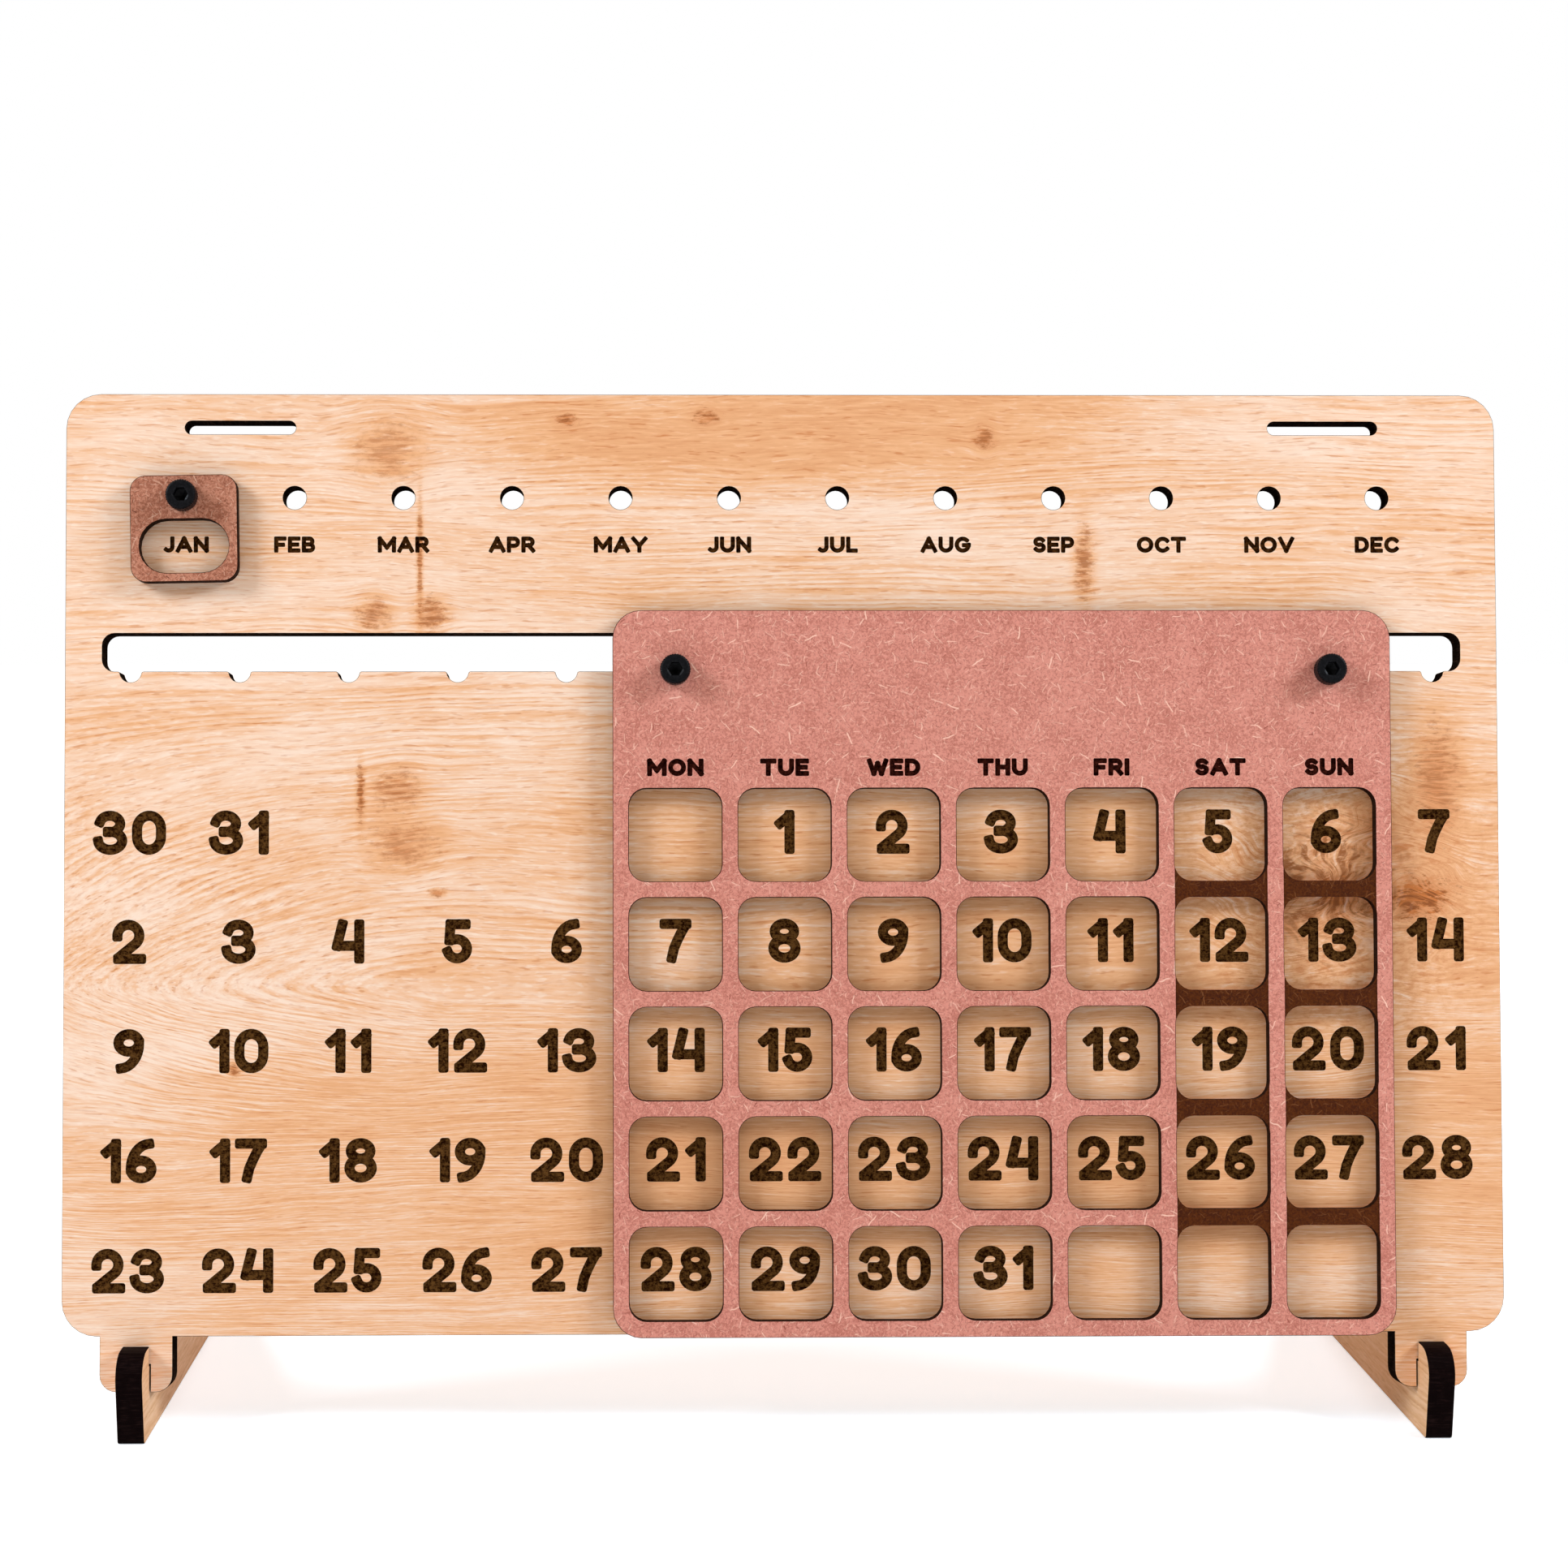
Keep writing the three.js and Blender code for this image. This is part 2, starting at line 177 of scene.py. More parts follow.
# Letterforms on a grid of one stroke-centre height. A stroke is a list of points (x, y) and of
# elliptical arcs (x, y, radius x, radius y, from, to) in degrees. RING marks a closed stroke.
RING = "ring"
GLYPHS = {
    "0": (0.70, [[RING, (0.35, 0.62, 0.35, 0.38, 0, 180), (0.35, 0.38, 0.35, 0.38, 180, 360)]]),
    "1": (0.32, [[(0.32, 1), (0.32, 0)], [(0.04, 0.75), (0.30, 0.97)]]),
    "2": (
        0.695,
        [
            [(0, 0.66), (0.32, 0.683, 0.32, 0.317, 180, -50), (0.09, 0.085)],
            [(0.025, 0), (0.695, 0)],
        ],
    ),
    "3": (
        0.69,
        [
            [(0.33, 0.76, 0.30, 0.24, 166, -90), (0.27, 0.52)],
            [(0.27, 0.53), (0.34, 0.265, 0.35, 0.265, 90, -176)],
        ],
    ),
    "4": (0.65, [[(0.154, 1), (0, 0.372)], [(0.01, 0.372), (0.65, 0.372)], [(0.65, 1), (0.65, 0)]]),
    "5": (
        0.56,
        [
            [(0.077, 1), (0.52, 1)],
            [(0.077, 1), (0.045, 0.53)],
            [(0.06, 0.54), (0.27, 0.28, 0.29, 0.28, 96, -162)],
        ],
    ),
    "6": (
        0.60,
        [
            [RING, (0.30, 0.255, 0.30, 0.255, 0, 360)],
            [(0, 0.24), (0.55, 0.28, 0.55, 0.72, 180, 92)],
        ],
    ),
    "7": (
        0.64,
        [[(0, 1), (0.64, 1)], [(0.595, 0.93), (0.50, 0.77), (0.38, 0.53), (0.27, 0.27), (0.21, 0)]],
    ),
    "8": (
        0.65,
        [
            [RING, (0.325, 0.775, 0.285, 0.225, 0, 360)],
            [RING, (0.325, 0.275, 0.325, 0.275, 0, 360)],
        ],
    ),
    "9": (
        0.60,
        [
            [RING, (0.30, 0.745, 0.30, 0.255, 0, 360)],
            [(0.60, 0.76), (0.05, 0.72, 0.55, 0.72, 0, -88)],
        ],
    ),
    "A": (1.03, [[(0, 0), (0.515, 1)], [(0.515, 1), (1.03, 0)], [(0.22, 0.3), (0.81, 0.3)]]),
    "B": (
        0.76,
        [
            [(0, 0), (0, 1)],
            [(0, 1), (0.46, 0.755, 0.24, 0.245, 90, -90), (0.1, 0.51)],
            [(0.1, 0.51), (0.50, 0.255, 0.26, 0.255, 90, -90), (0, 0)],
        ],
    ),
    "C": (0.90, [[(0.5, 0.5, 0.5, 0.5, 42, 318)]]),
    "D": (0.86, [[(0, 0), (0, 1)], [(0, 1), (0.36, 0.5, 0.5, 0.5, 90, -90), (0, 0)]]),
    "E": (
        0.70,
        [[(0, 0), (0, 1)], [(0, 1), (0.70, 1)], [(0, 0.5), (0.60, 0.5)], [(0, 0), (0.70, 0)]],
    ),
    "F": (0.68, [[(0, 0), (0, 1)], [(0, 1), (0.68, 1)], [(0, 0.48), (0.56, 0.48)]]),
    "G": (0.95, [[(0.5, 0.5, 0.5, 0.5, 46, 360)], [(1.0, 0.46), (0.6, 0.46)]]),
    "H": (0.82, [[(0, 0), (0, 1)], [(0.82, 0), (0.82, 1)], [(0, 0.5), (0.82, 0.5)]]),
    "I": (0, [[(0, 0), (0, 1)]]),
    "J": (0.63, [[(0.63, 1), (0.32, 0.3, 0.31, 0.3, 0, -135)]]),
    "L": (0.62, [[(0, 1), (0, 0)], [(0, 0), (0.62, 0)]]),
    "M": (
        1.18,
        [
            [(0, 0), (0, 1)],
            [(0, 1), (0.59, 0.25)],
            [(0.59, 0.25), (1.18, 1)],
            [(1.18, 1), (1.18, 0)],
        ],
    ),
    "N": (0.90, [[(0, 0), (0, 1)], [(0, 1), (0.90, 0)], [(0.90, 0), (0.90, 1)]]),
    "O": (1.04, [[RING, (0.52, 0.5, 0.52, 0.5, 0, 360)]]),
    "P": (0.75, [[(0, 0), (0, 1)], [(0, 1), (0.45, 0.70, 0.30, 0.30, 90, -90), (0, 0.40)]]),
    "R": (
        0.80,
        [
            [(0, 0), (0, 1)],
            [(0, 1), (0.47, 0.72, 0.29, 0.28, 90, -90), (0, 0.44)],
            [(0.42, 0.44), (0.80, 0)],
        ],
    ),
    "S": (
        0.74,
        [[(0.38, 0.745, 0.34, 0.255, 30, 262), (0.38, 0.265, 0.36, 0.265, 80, -150)]],
    ),
    "T": (0.92, [[(0, 1), (0.92, 1)], [(0.46, 1), (0.46, 0)]]),
    "U": (0.90, [[(0, 1), (0.45, 0.43, 0.45, 0.43, 180, 360), (0.90, 1)]]),
    "V": (1.0, [[(0, 1), (0.5, 0)], [(0.5, 0), (1.0, 1)]]),
    "W": (
        1.32,
        [
            [(0, 1), (0.35, 0)],
            [(0.35, 0), (0.66, 0.8)],
            [(0.66, 0.8), (0.97, 0)],
            [(0.97, 0), (1.32, 1)],
        ],
    ),
    "Y": (1.0, [[(0, 1), (0.5, 0.42)], [(1.0, 1), (0.5, 0.42)], [(0.5, 0.42), (0.5, 0)]]),
}
MONTHS = ["JAN", "FEB", "MAR", "APR", "MAY", "JUN", "JUL", "AUG", "SEP", "OCT", "NOV", "DEC"]
WEEKDAYS = ["MON", "TUE", "WED", "THU", "FRI", "SAT", "SUN"]


def centred(index, count):
    """Place of one of a row of equal steps about zero."""
    return (index - (count - 1) / 2) * PITCH


# Planes of the pieces
lean = math.atan2(frame["joints"][0]["axis"][1], frame["joints"][0]["axis"][2])
board_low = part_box("back_board")[0]
board_foot = Vector(
    (
        0,
        board_low.y + TAB_DEPTH * MM * math.sin(lean),
        board_low.z + (TAB_DEPTH * math.cos(lean) + BOARD_THICKNESS * math.sin(lean)) * MM,
    )
)
BOARD = Matrix.Translation(board_foot) @ Matrix.Rotation(math.pi / 2 - lean, 4, "X")
SLIDER = BOARD @ Matrix.Translation((SLIDER_AT[0] * MM, SLIDER_AT[1] * MM, 0))
MARKER = (
    BOARD
    @ Matrix.Translation((MARKER_AT[0] * MM, MARKER_AT[1] * MM, 0))
    @ Matrix.Rotation(MARKER_TILT, 4, "Z")
)


def leg_plane(x):
    """Plane of a leg: its plan's x runs back, its y up, and its front faces +X."""
    turn = Matrix(((0, 0, 1), (1, 0, 0), (0, 1, 0))).to_4x4()
    return Matrix.Translation((x * MM, 0, 0)) @ turn


LEG_PLANE = leg_plane(0)

# Shader graphs


class Graph:
    """Node tree of a material or a world. Most calls add a node and give its output socket."""

    def __init__(self, owner):
        owner.use_nodes = True
        self.owner = owner
        self.tree = owner.node_tree
        self.tree.nodes.clear()

    def add(self, kind, inputs, **settings):
        """Adds a node whose inputs are linked to sockets or set to values, and gives the node."""
        node = self.tree.nodes.new(kind)
        for key, value in settings.items():
            setattr(node, key, value)
        for key, value in inputs.items():
            if isinstance(value, bpy.types.NodeSocket):
                self.tree.links.new(value, node.inputs[key])
            else:
                node.inputs[key].default_value = value
        return node

    def math(self, operation, a, b=0.0, c=0.0):
        return self.add("ShaderNodeMath", {0: a, 1: b, 2: c}, operation=operation).outputs[0]

    def vary(self, noise, weight, base, middle=0.5):
        """A base value raised and lowered by a noise about its middle."""
        return self.math("MULTIPLY_ADD", self.math("SUBTRACT", noise, middle), weight, base)

    def plane_coordinates(self, matrix):
        """Coordinates in millimetres in a plane of the object."""
        place = self.add("ShaderNodeTexCoord", {}).outputs["Object"]
        inputs = {
            "Vector": place,
            "Location": matrix.to_translation(),
            "Rotation": matrix.to_euler(),
            "Scale": (MM, MM, MM),
        }
        return self.add("ShaderNodeMapping", inputs, vector_type="TEXTURE").outputs[0]

    def split(self, vector):
        return self.add("ShaderNodeSeparateXYZ", {0: vector}).outputs

    def length(self, vector):
        return self.add("ShaderNodeVectorMath", {0: vector}, operation="LENGTH").outputs["Value"]

    def stretched(self, vector, scale, offset=(0, 0, 0)):
        return self.add(
            "ShaderNodeMapping", {"Vector": vector, "Location": offset, "Scale": scale}
        ).outputs[0]

    def noise(self, vector, scale, detail=2.0, roughness=0.5, output="Fac"):
        return self.add(
            "ShaderNodeTexNoise",
            {"Vector": vector, "Scale": scale, "Detail": detail, "Roughness": roughness},
        ).outputs[output]

    def pattern(self, vector, stretch, offset, detail, roughness):
        """Noise stretched along each axis and shifted."""
        return self.noise(self.stretched(vector, stretch, offset), 1.0, detail, roughness)

    def span(self, value, low, high, to_low=0.0, to_high=1.0):
        """Smooth step of a value from one range to another."""
        inputs = {
            "Value": value,
            "From Min": low,
            "From Max": high,
            "To Min": to_low,
            "To Max": to_high,
        }
        return self.add("ShaderNodeMapRange", inputs, interpolation_type="SMOOTHSTEP").outputs[0]

    def within(self, distance, reach, shares, to_low=0.0, to_high=1.0):
        """Smooth step of a distance between two shares of a reach."""
        return self.span(distance, reach * shares[0], reach * shares[1], to_low, to_high)

    def mix(self, factor, a, b):
        return self.add("ShaderNodeMix", {0: factor, 6: a, 7: b}, data_type="RGBA").outputs[2]

    def bump(self, height, distance, strength):
        return self.add(
            "ShaderNodeBump", {"Height": height, "Distance": distance, "Strength": strength}
        ).outputs[0]

    def shown(self):
        """One where the surroundings are seen, straight or in metal and glass, or else zero."""
        rays = self.add("ShaderNodeLightPath", {}).outputs
        seen = self.math("MAXIMUM", rays["Is Camera Ray"], rays["Is Glossy Ray"])
        return self.math("MAXIMUM", seen, rays["Is Transmission Ray"])

    def surface(self, color, roughness, normal, **constants):
        """Finishes a material with a surface, and gives the material."""
        shader = self.add(
            "ShaderNodeBsdfPrincipled",
            {"Base Color": color, "Roughness": roughness, "Normal": normal},
        )
        for key, value in constants.items():
            shader.inputs[key.replace("_", " ")].default_value = value
        self.output(shader.outputs[0])
        return self.owner

    def output(self, shader, kind="ShaderNodeOutputMaterial"):
        self.add(kind, {"Surface": shader})


def material_graph(name):
    return Graph(bpy.data.materials.new(name))


def rgb(red, green, blue):
    return (red, green, blue, 1.0)


# Oak. A pattern is a noise's stretch and offset along x, y and z, its detail and its roughness.
WANDER = ((0.006, 0.02, 0.02), (0, 0, 0), 1.0, 0.5)
RIPPLE = ((0.03, 0.11, 0.1), (7, 3, 1), 1.0, 0.5)
GRIT = ((0.35, 0.85, 0.3), (1, 1, 7), 5.0, 0.7)
PACE = ((0.002, 0.11, 0.0), (3, 9, 4), 2.0, 0.5)
STREAKS = ((0.045, 0.6, 0.3), (11, 2, 6), 4.0, 0.7)
FIBRES = ((0.12, 1.5, 0.9), (2, 5, 8), 2.0, 0.6)
CLOUDS = ((0.012, 0.04, 0.03), (5, 5, 5), 3.0, 0.5)
PORES = ((0.24, 2.0, 1.2), (8, 1, 3), 1.0, 0.5)
FLECKS = ((0.35, 1.9, 1.2), (4, 7, 2), 1.0, 0.5)
PATCHES = ((0.02, 0.06, 0.03), (9, 1, 2), 2.0, 0.5)
FANS = ((4.0, 0.12, 3.0), (0, 0, 0), 3.0, 0.7)
LAY = ((0.2, 3.0, 0.3), (2, 5, 8), 2.0, 0.6)

# Rings: how far the grain wanders and ripples, how unevenly it grows, where above the axis the
# rings start to close, and the edges of their early wood
WANDER_HEIGHT = 14.0
RIPPLE_HEIGHT = 3.0
PACE_RINGS = 7.0
CLOSING_START = 5.0
EARLY_RISE = (0.2, 0.85)
EARLY_FALL = (1.0, 0.85)

# Knots: the ragged edge, the warm halo and the grain that bulges round a wide one
RAGGEDNESS = 3.2
KNOT_EDGE = (1.0, 0.1)
HALO_EDGE = (1.7, 0.2)
HALO_WARMTH = 0.6
BULGE_EDGE = (2.2, 0.0)
BULGE = 0.45
STAIN_EDGE = (1.0, 0.3)
VEINS = (0.4, 0.56)

# Warmth of the wood, from its light tone to its amber one. The streaks are calmer higher up.
WARMTH_MIDDLE = 0.43
STREAK_CONTRAST = (60.0, 190.0, 2.1, 1.2)
CLOUD_WARMTH = 1.6
FIBRE_WARMTH = 0.9
PATCH_EDGE = (0.4, 0.62)
RING_WARMTH = (0.4, 0.1)
FLECK_EDGE = (0.56, 0.7)
FLECK_WARMTH = -0.3
AMBER_RISE = (-0.15, 1.15)

# Dark pores and fibres
PORE_EDGE = (0.585, 0.68)
PORE_IN_RING = (0.6, 0.4)
PORE_DUSK = 0.47
FIBRE_MIDDLE = 0.52
FIBRE_DUSK = 0.6
WARM_RISE = (0.75, 1.6)
WARM_DUSK = 0.3

# Finish of the wood
OAK_ROUGHNESS = (0.3, 0.7, 0.56, 0.68)
OAK_BUMP = (0.00005, 0.35)

# Burl: shares of its reach at which its effects start and are full, and their strengths
SWEEP_SHARES = (1.5, 0.4)
WILD_SHARES = (2.4, 0.5)
FAN_SHARES = (1.0, 0.5)
SWEEP = -0.6
CURL_HEIGHT = 11.0
WILD_WARMTH = 3.0
FAN_WAVER = 3.0
MARK_EDGE = (0.48, 0.62)
MARK_STRENGTH = 0.5
SPIKE_EDGE = (0.48, 0.3)
SPIKE_STRENGTH = 0.5
RAY_EDGE = (0.45, 0.62)
RAY_GRIT = (0.3, 0.55)

# Rings are the axis' height, the x where they close, how fast, the nose's blunting, the squeeze
# below the axis, the reach of the closing and the spacing. A spot is a knot, or a stain or patch
# of painted shade, with its reach along the grain and across it.
Rings = namedtuple("Rings", "axis close_x closing blunting squeeze reach spacing")
Spot = namedtuple("Spot", "x y along across strength")
Burl = namedtuple("Burl", "x y reach strength")


class BurlFigure:
    """Wild grain round a burl, with dark rays and pale spikes that fan out of it."""

    def __init__(self, g, burl, x, y, ripple, grit):
        self.g = g
        self.burl = burl
        self.ripple = ripple
        self.grit = grit
        self.off_x = g.math("SUBTRACT", x, burl.x)
        self.off_y = g.math("SUBTRACT", y, burl.y)
        squares = g.math("MULTIPLY", self.off_y, self.off_y)
        squares = g.math("MULTIPLY_ADD", self.off_x, self.off_x, squares)
        self.away = g.math("SQRT", squares)
        self.wild = g.within(self.away, burl.reach, WILD_SHARES)

    def swept(self, height):
        """Grain swept aside and curled."""
        slope = self.g.within(self.away, self.burl.reach, SWEEP_SHARES, 0.0, SWEEP)
        height = self.g.math("MULTIPLY_ADD", self.off_x, slope, height)
        curl = self.g.math("MULTIPLY", self.g.math("SUBTRACT", self.ripple, 0.5), CURL_HEIGHT)
        return self.g.math("MULTIPLY_ADD", curl, self.wild, height)

    def warmed(self, warmth, uneven):
        """Warmth made patchy."""
        patchy = self.g.math("MULTIPLY", uneven, self.wild)
        return self.g.math("MULTIPLY_ADD", patchy, WILD_WARMTH, warmth)

    def painted(self, color, cloud, light, dark, pore):
        """Colour with the dark marks, the pale spikes and the dark rays."""
        g = self.g
        turn = g.vary(self.ripple, FAN_WAVER, g.math("ARCTAN2", self.off_y, self.off_x))
        fan = {0: g.math("ABSOLUTE", turn), 1: self.away, 2: cloud}
        fans = g.pattern(g.add("ShaderNodeCombineXYZ", fan).outputs[0], *FANS)
        inside = g.within(self.away, self.burl.reach, FAN_SHARES, 0.0, self.burl.strength)
        amount = g.math("MULTIPLY", self.wild, MARK_STRENGTH)
        marks = g.math("MULTIPLY", g.span(self.grit, *MARK_EDGE), amount)
        color = g.mix(marks, color, dark)
        amount = g.math("MULTIPLY", inside, SPIKE_STRENGTH)
        spikes = g.math("MULTIPLY", g.span(fans, *SPIKE_EDGE), amount)
        color = g.mix(spikes, color, light)
        rays = g.math("MULTIPLY", g.span(fans, *RAY_EDGE), g.span(self.grit, *RAY_GRIT))
        return g.mix(g.math("MULTIPLY", rays, inside), color, pore)


def spot_distance(g, at, spot):
    """Distance from the middle of a knot or stain: one at its edge."""
    offset = (-spot.x / spot.along, -spot.y / spot.across, 0)
    return g.length(g.stretched(at, (1 / spot.along, 1 / spot.across, 0), offset))


def knot_figure(g, at, uneven, height, knots):
    """How near each knot is, the halo round them all, and the grain that bulges round them."""
    y = g.split(at)[1]
    nears, halo = [], 0.0
    for knot in knots:
        away = spot_distance(g, at, knot)
        ragged = g.math("MULTIPLY_ADD", uneven, RAGGEDNESS, away)
        nears.append(g.span(ragged, *KNOT_EDGE))
        halo = g.math("MULTIPLY_ADD", g.span(away, *HALO_EDGE), HALO_WARMTH, halo)
        if knot.along > knot.across / 2:
            bulge = g.span(away, *BULGE_EDGE, 0.0, BULGE)
            rise = g.math("MULTIPLY", g.math("SUBTRACT", knot.y, y), bulge)
            height = g.math("ADD", height, rise)
    return nears, halo, height


def ring_growth(g, x, height, rings):
    """Growth in millimetres from the axis of the rings, which close to a nose at one end."""
    across = g.math("SUBTRACT", height, rings.axis)
    across = g.math("MAXIMUM", across, g.math("MULTIPLY", across, -rings.squeeze))
    squares = g.math("MULTIPLY_ADD", across, across, rings.blunting**2)
    before = g.math("MAXIMUM", g.math("SUBTRACT", rings.close_x, x), 0.0)
    closing = g.span(across, rings.reach, CLOSING_START, 0.0, rings.closing)
    shrink = g.math("MULTIPLY", g.math("MULTIPLY", before, before), closing)
    return g.math("ADD", g.math("SQRT", squares), shrink)


def oak(name, matrix, rings, tones, knots=(), stains=(), burl=None):
    """Oiled oak with its grain along x: growth rings, fibres, pores, knots, stains, patches of
    painted shade and a burl.
    """
    light, amber, dark, pore = (rgb(*tone) for tone in tones)
    g = material_graph(name)
    at = g.plane_coordinates(matrix)
    x, y, _ = g.split(at)
    ripple = g.pattern(at, *RIPPLE)
    grit = g.pattern(at, *GRIT)
    uneven = g.math("SUBTRACT", grit, 0.5)
    height = g.vary(g.pattern(at, *WANDER), WANDER_HEIGHT, y)
    height = g.vary(ripple, RIPPLE_HEIGHT, height)
    figure = BurlFigure(g, burl, x, y, ripple, grit) if burl else None
    if figure:
        height = figure.swept(height)
    nears, halo, height = knot_figure(g, at, uneven, height, knots)

    growth = ring_growth(g, x, height, rings)
    along = g.add("ShaderNodeCombineXYZ", {0: x, 1: growth, 2: height}).outputs[0]
    pace = g.math("MULTIPLY", g.pattern(along, *PACE), PACE_RINGS)
    phase = g.math("FRACT", g.math("MULTIPLY_ADD", growth, 1 / rings.spacing, pace))
    early = g.math("MULTIPLY", g.span(phase, *EARLY_RISE), g.span(phase, *EARLY_FALL))
    fibre = g.pattern(along, *FIBRES)
    cloud = g.pattern(at, *CLOUDS)

    contrast = g.span(y, *STREAK_CONTRAST)
    warmth = g.vary(g.pattern(along, *STREAKS), contrast, WARMTH_MIDDLE)
    warmth = g.vary(cloud, CLOUD_WARMTH, warmth)
    warmth = g.vary(fibre, FIBRE_WARMTH, warmth)
    patch = g.span(g.pattern(at, *PATCHES), *PATCH_EDGE)
    lines = g.math("MULTIPLY", early, g.math("MULTIPLY_ADD", patch, *RING_WARMTH))
    warmth = g.math("ADD", lines, warmth)
    for stain in stains:
        near = g.span(spot_distance(g, at, stain), *STAIN_EDGE)
        warmth = g.math("MULTIPLY_ADD", near, stain.strength, warmth)
    flecks = g.span(g.pattern(along, *FLECKS), *FLECK_EDGE)
    warmth = g.math("MULTIPLY_ADD", flecks, FLECK_WARMTH, g.math("ADD", warmth, halo))
    if figure:
        warmth = figure.warmed(warmth, uneven)
    color = g.mix(g.span(warmth, *AMBER_RISE), light, amber)

    dash = g.math("MULTIPLY_ADD", early, *PORE_IN_RING)
    dash = g.math("MULTIPLY", g.span(g.pattern(along, *PORES), *PORE_EDGE), dash)
    dusk = g.vary(fibre, FIBRE_DUSK, g.math("MULTIPLY", dash, PORE_DUSK), FIBRE_MIDDLE)
    dusk = g.math("MULTIPLY_ADD", g.span(warmth, *WARM_RISE), WARM_DUSK, dusk)
    color = g.mix(g.math("MAXIMUM", dusk, 0.0), color, dark)
    veins = g.span(fibre, *VEINS)
    for near, knot in zip(nears, knots):
        near = g.math("MULTIPLY", near, knot.strength)
        color = g.mix(near, color, dark)
        color = g.mix(g.math("MULTIPLY", near, veins), color, pore)
    if figure:
        color = figure.painted(color, cloud, light, dark, pore)
    rough = g.span(cloud, *OAK_ROUGHNESS)
    normal = g.bump(g.pattern(at, *LAY), *OAK_BUMP)
    return g.surface(color, rough, normal, Specular_IOR_Level=0.15)


# Fibreboard. A layer is its cells' size, its fibres' half length and half width, the share of
# cells with a fibre, whether it is pale, and its strength.
Layer = namedtuple("Layer", "cell half_length half_width share pale strength")
FIBRE_LAYERS = (
    Layer(1.0, 0.38, 0.12, 0.8, False, 0.55),
    Layer(1.6, 0.6, 0.13, 0.7, False, 0.6),
    Layer(1.3, 0.5, 0.12, 0.8, True, 0.5),
    Layer(2.3, 0.8, 0.12, 0.7, True, 0.65),
    Layer(4.0, 1.2, 0.14, 0.6, True, 0.9),
    Layer(7.0, 1.7, 0.19, 0.55, True, 1.0),
    Layer(5.0, 0.6, 0.17, 0.45, False, 0.9),
)
LAYER_SHIFT = (13.7, 29.1)
FIBRE_END = (1.0, 0.7)
FIBRE_SIDE = (1.0, 0.4)
FIBRE_BEND = (0.8, 0.8, 0)
BLOTCH = (0.16, 5.0, 0.72)
GRAIN = (2.0, 3.0, 0.7)
BEND = (0.5, 1.0)
BODY_TONE = 0.45
BLOTCH_TONE = 2.2
GRAIN_TONE = 4.5
FIBREBOARD_ROUGHNESS = 0.8
GRAIN_BUMP = (0.00006, 0.5)


def short_fibres(g, at, layer, shift):
    """Strength of one layer of short fibres, each in a cell of its own and turned by chance."""
    grid = g.stretched(at, (1 / layer.cell, 1 / layer.cell, 0), shift)
    cells = g.add("ShaderNodeTexVoronoi", {"Vector": grid, "Scale": 1.0}, voronoi_dimensions="2D")
    chance = g.add("ShaderNodeSeparateColor", {0: cells.outputs["Color"]}).outputs
    offset = g.add(
        "ShaderNodeVectorMath", {0: grid, 1: cells.outputs["Position"]}, operation="SUBTRACT"
    )
    turned = g.add(
        "ShaderNodeVectorRotate",
        {"Vector": offset.outputs[0], "Angle": g.math("MULTIPLY", chance[0], math.tau)},
        rotation_type="Z_AXIS",
    )
    local = g.split(turned.outputs[0])
    reach = g.math("ABSOLUTE", g.math("MULTIPLY", local[0], layer.cell))
    side = g.math("ABSOLUTE", g.math("MULTIPLY", local[1], layer.cell))
    length = g.within(reach, layer.half_length, FIBRE_END)
    body = g.math("MULTIPLY", length, g.within(side, layer.half_width, FIBRE_SIDE))
    here = g.math("LESS_THAN", chance[1], layer.share)
    body = g.math("MULTIPLY", body, g.math("MULTIPLY", here, chance[2]))
    return g.math("MULTIPLY", body, layer.strength)


def fibreboard(name, base, shade, pale, deep):
    """Dyed fibreboard: a mottled body full of short fibres, pale and dark, that lie all ways."""
    g = material_graph(name)
    at = g.plane_coordinates(BOARD)
    grain = g.noise(at, *GRAIN)
    tone = g.vary(g.noise(at, *BLOTCH), BLOTCH_TONE, BODY_TONE)
    tone = g.vary(grain, GRAIN_TONE, tone)
    color = g.mix(g.span(tone, 0.0, 1.0), rgb(*base), rgb(*shade))
    bent = g.add(
        "ShaderNodeVectorMath",
        {0: g.noise(at, *BEND, output="Color"), 1: FIBRE_BEND, 2: at},
        operation="MULTIPLY_ADD",
    ).outputs[0]
    for number, layer in enumerate(FIBRE_LAYERS):
        shift = (number * LAYER_SHIFT[0], number * LAYER_SHIFT[1], 0)
        fibres = short_fibres(g, bent, layer, shift)
        color = g.mix(fibres, color, rgb(*(pale if layer.pale else deep)))
    normal = g.bump(grain, *GRAIN_BUMP)
    return g.surface(color, FIBREBOARD_ROUGHNESS, normal, Specular_IOR_Level=0.12)


# Burnt floors, cut edges and steel
RASTER_STRETCH = (0.8, 1.0)
RASTER_DETAIL = (2.0, 0.6)
BURN_SOOT = (1.1, 4.0, 0.75)
RASTER_TONE = 0.04
LINE_TONE = (0.4, 0.29)
BURN_RISE = (0.25, 0.75)
BURN_ROUGHNESS = 0.95
BURN_BUMP = (0.0001, 0.5)
STRIPES = ((3.5, 3.5, 0.25), (0, 0, 0), 2.0, 0.6)
EDGE_SOOT = (0.35, 4.0, 0.65)
EDGE_SOOT_TONE = 0.8
EDGE_RISE = (0.42, 1.1)
EDGE_ROUGHNESS = (0.3, 0.7, 0.45, 0.6)
EDGE_BUMP = (0.00005, 0.4)
MARKS = (1.7, 4.0, 0.6)
MARK_RISE = (0.35, 0.7)
GLOSS = (3.1, 3.0)
GLOSS_RISE = (0.3, 0.7)
MARK_BUMP = (0.00002, 0.3)


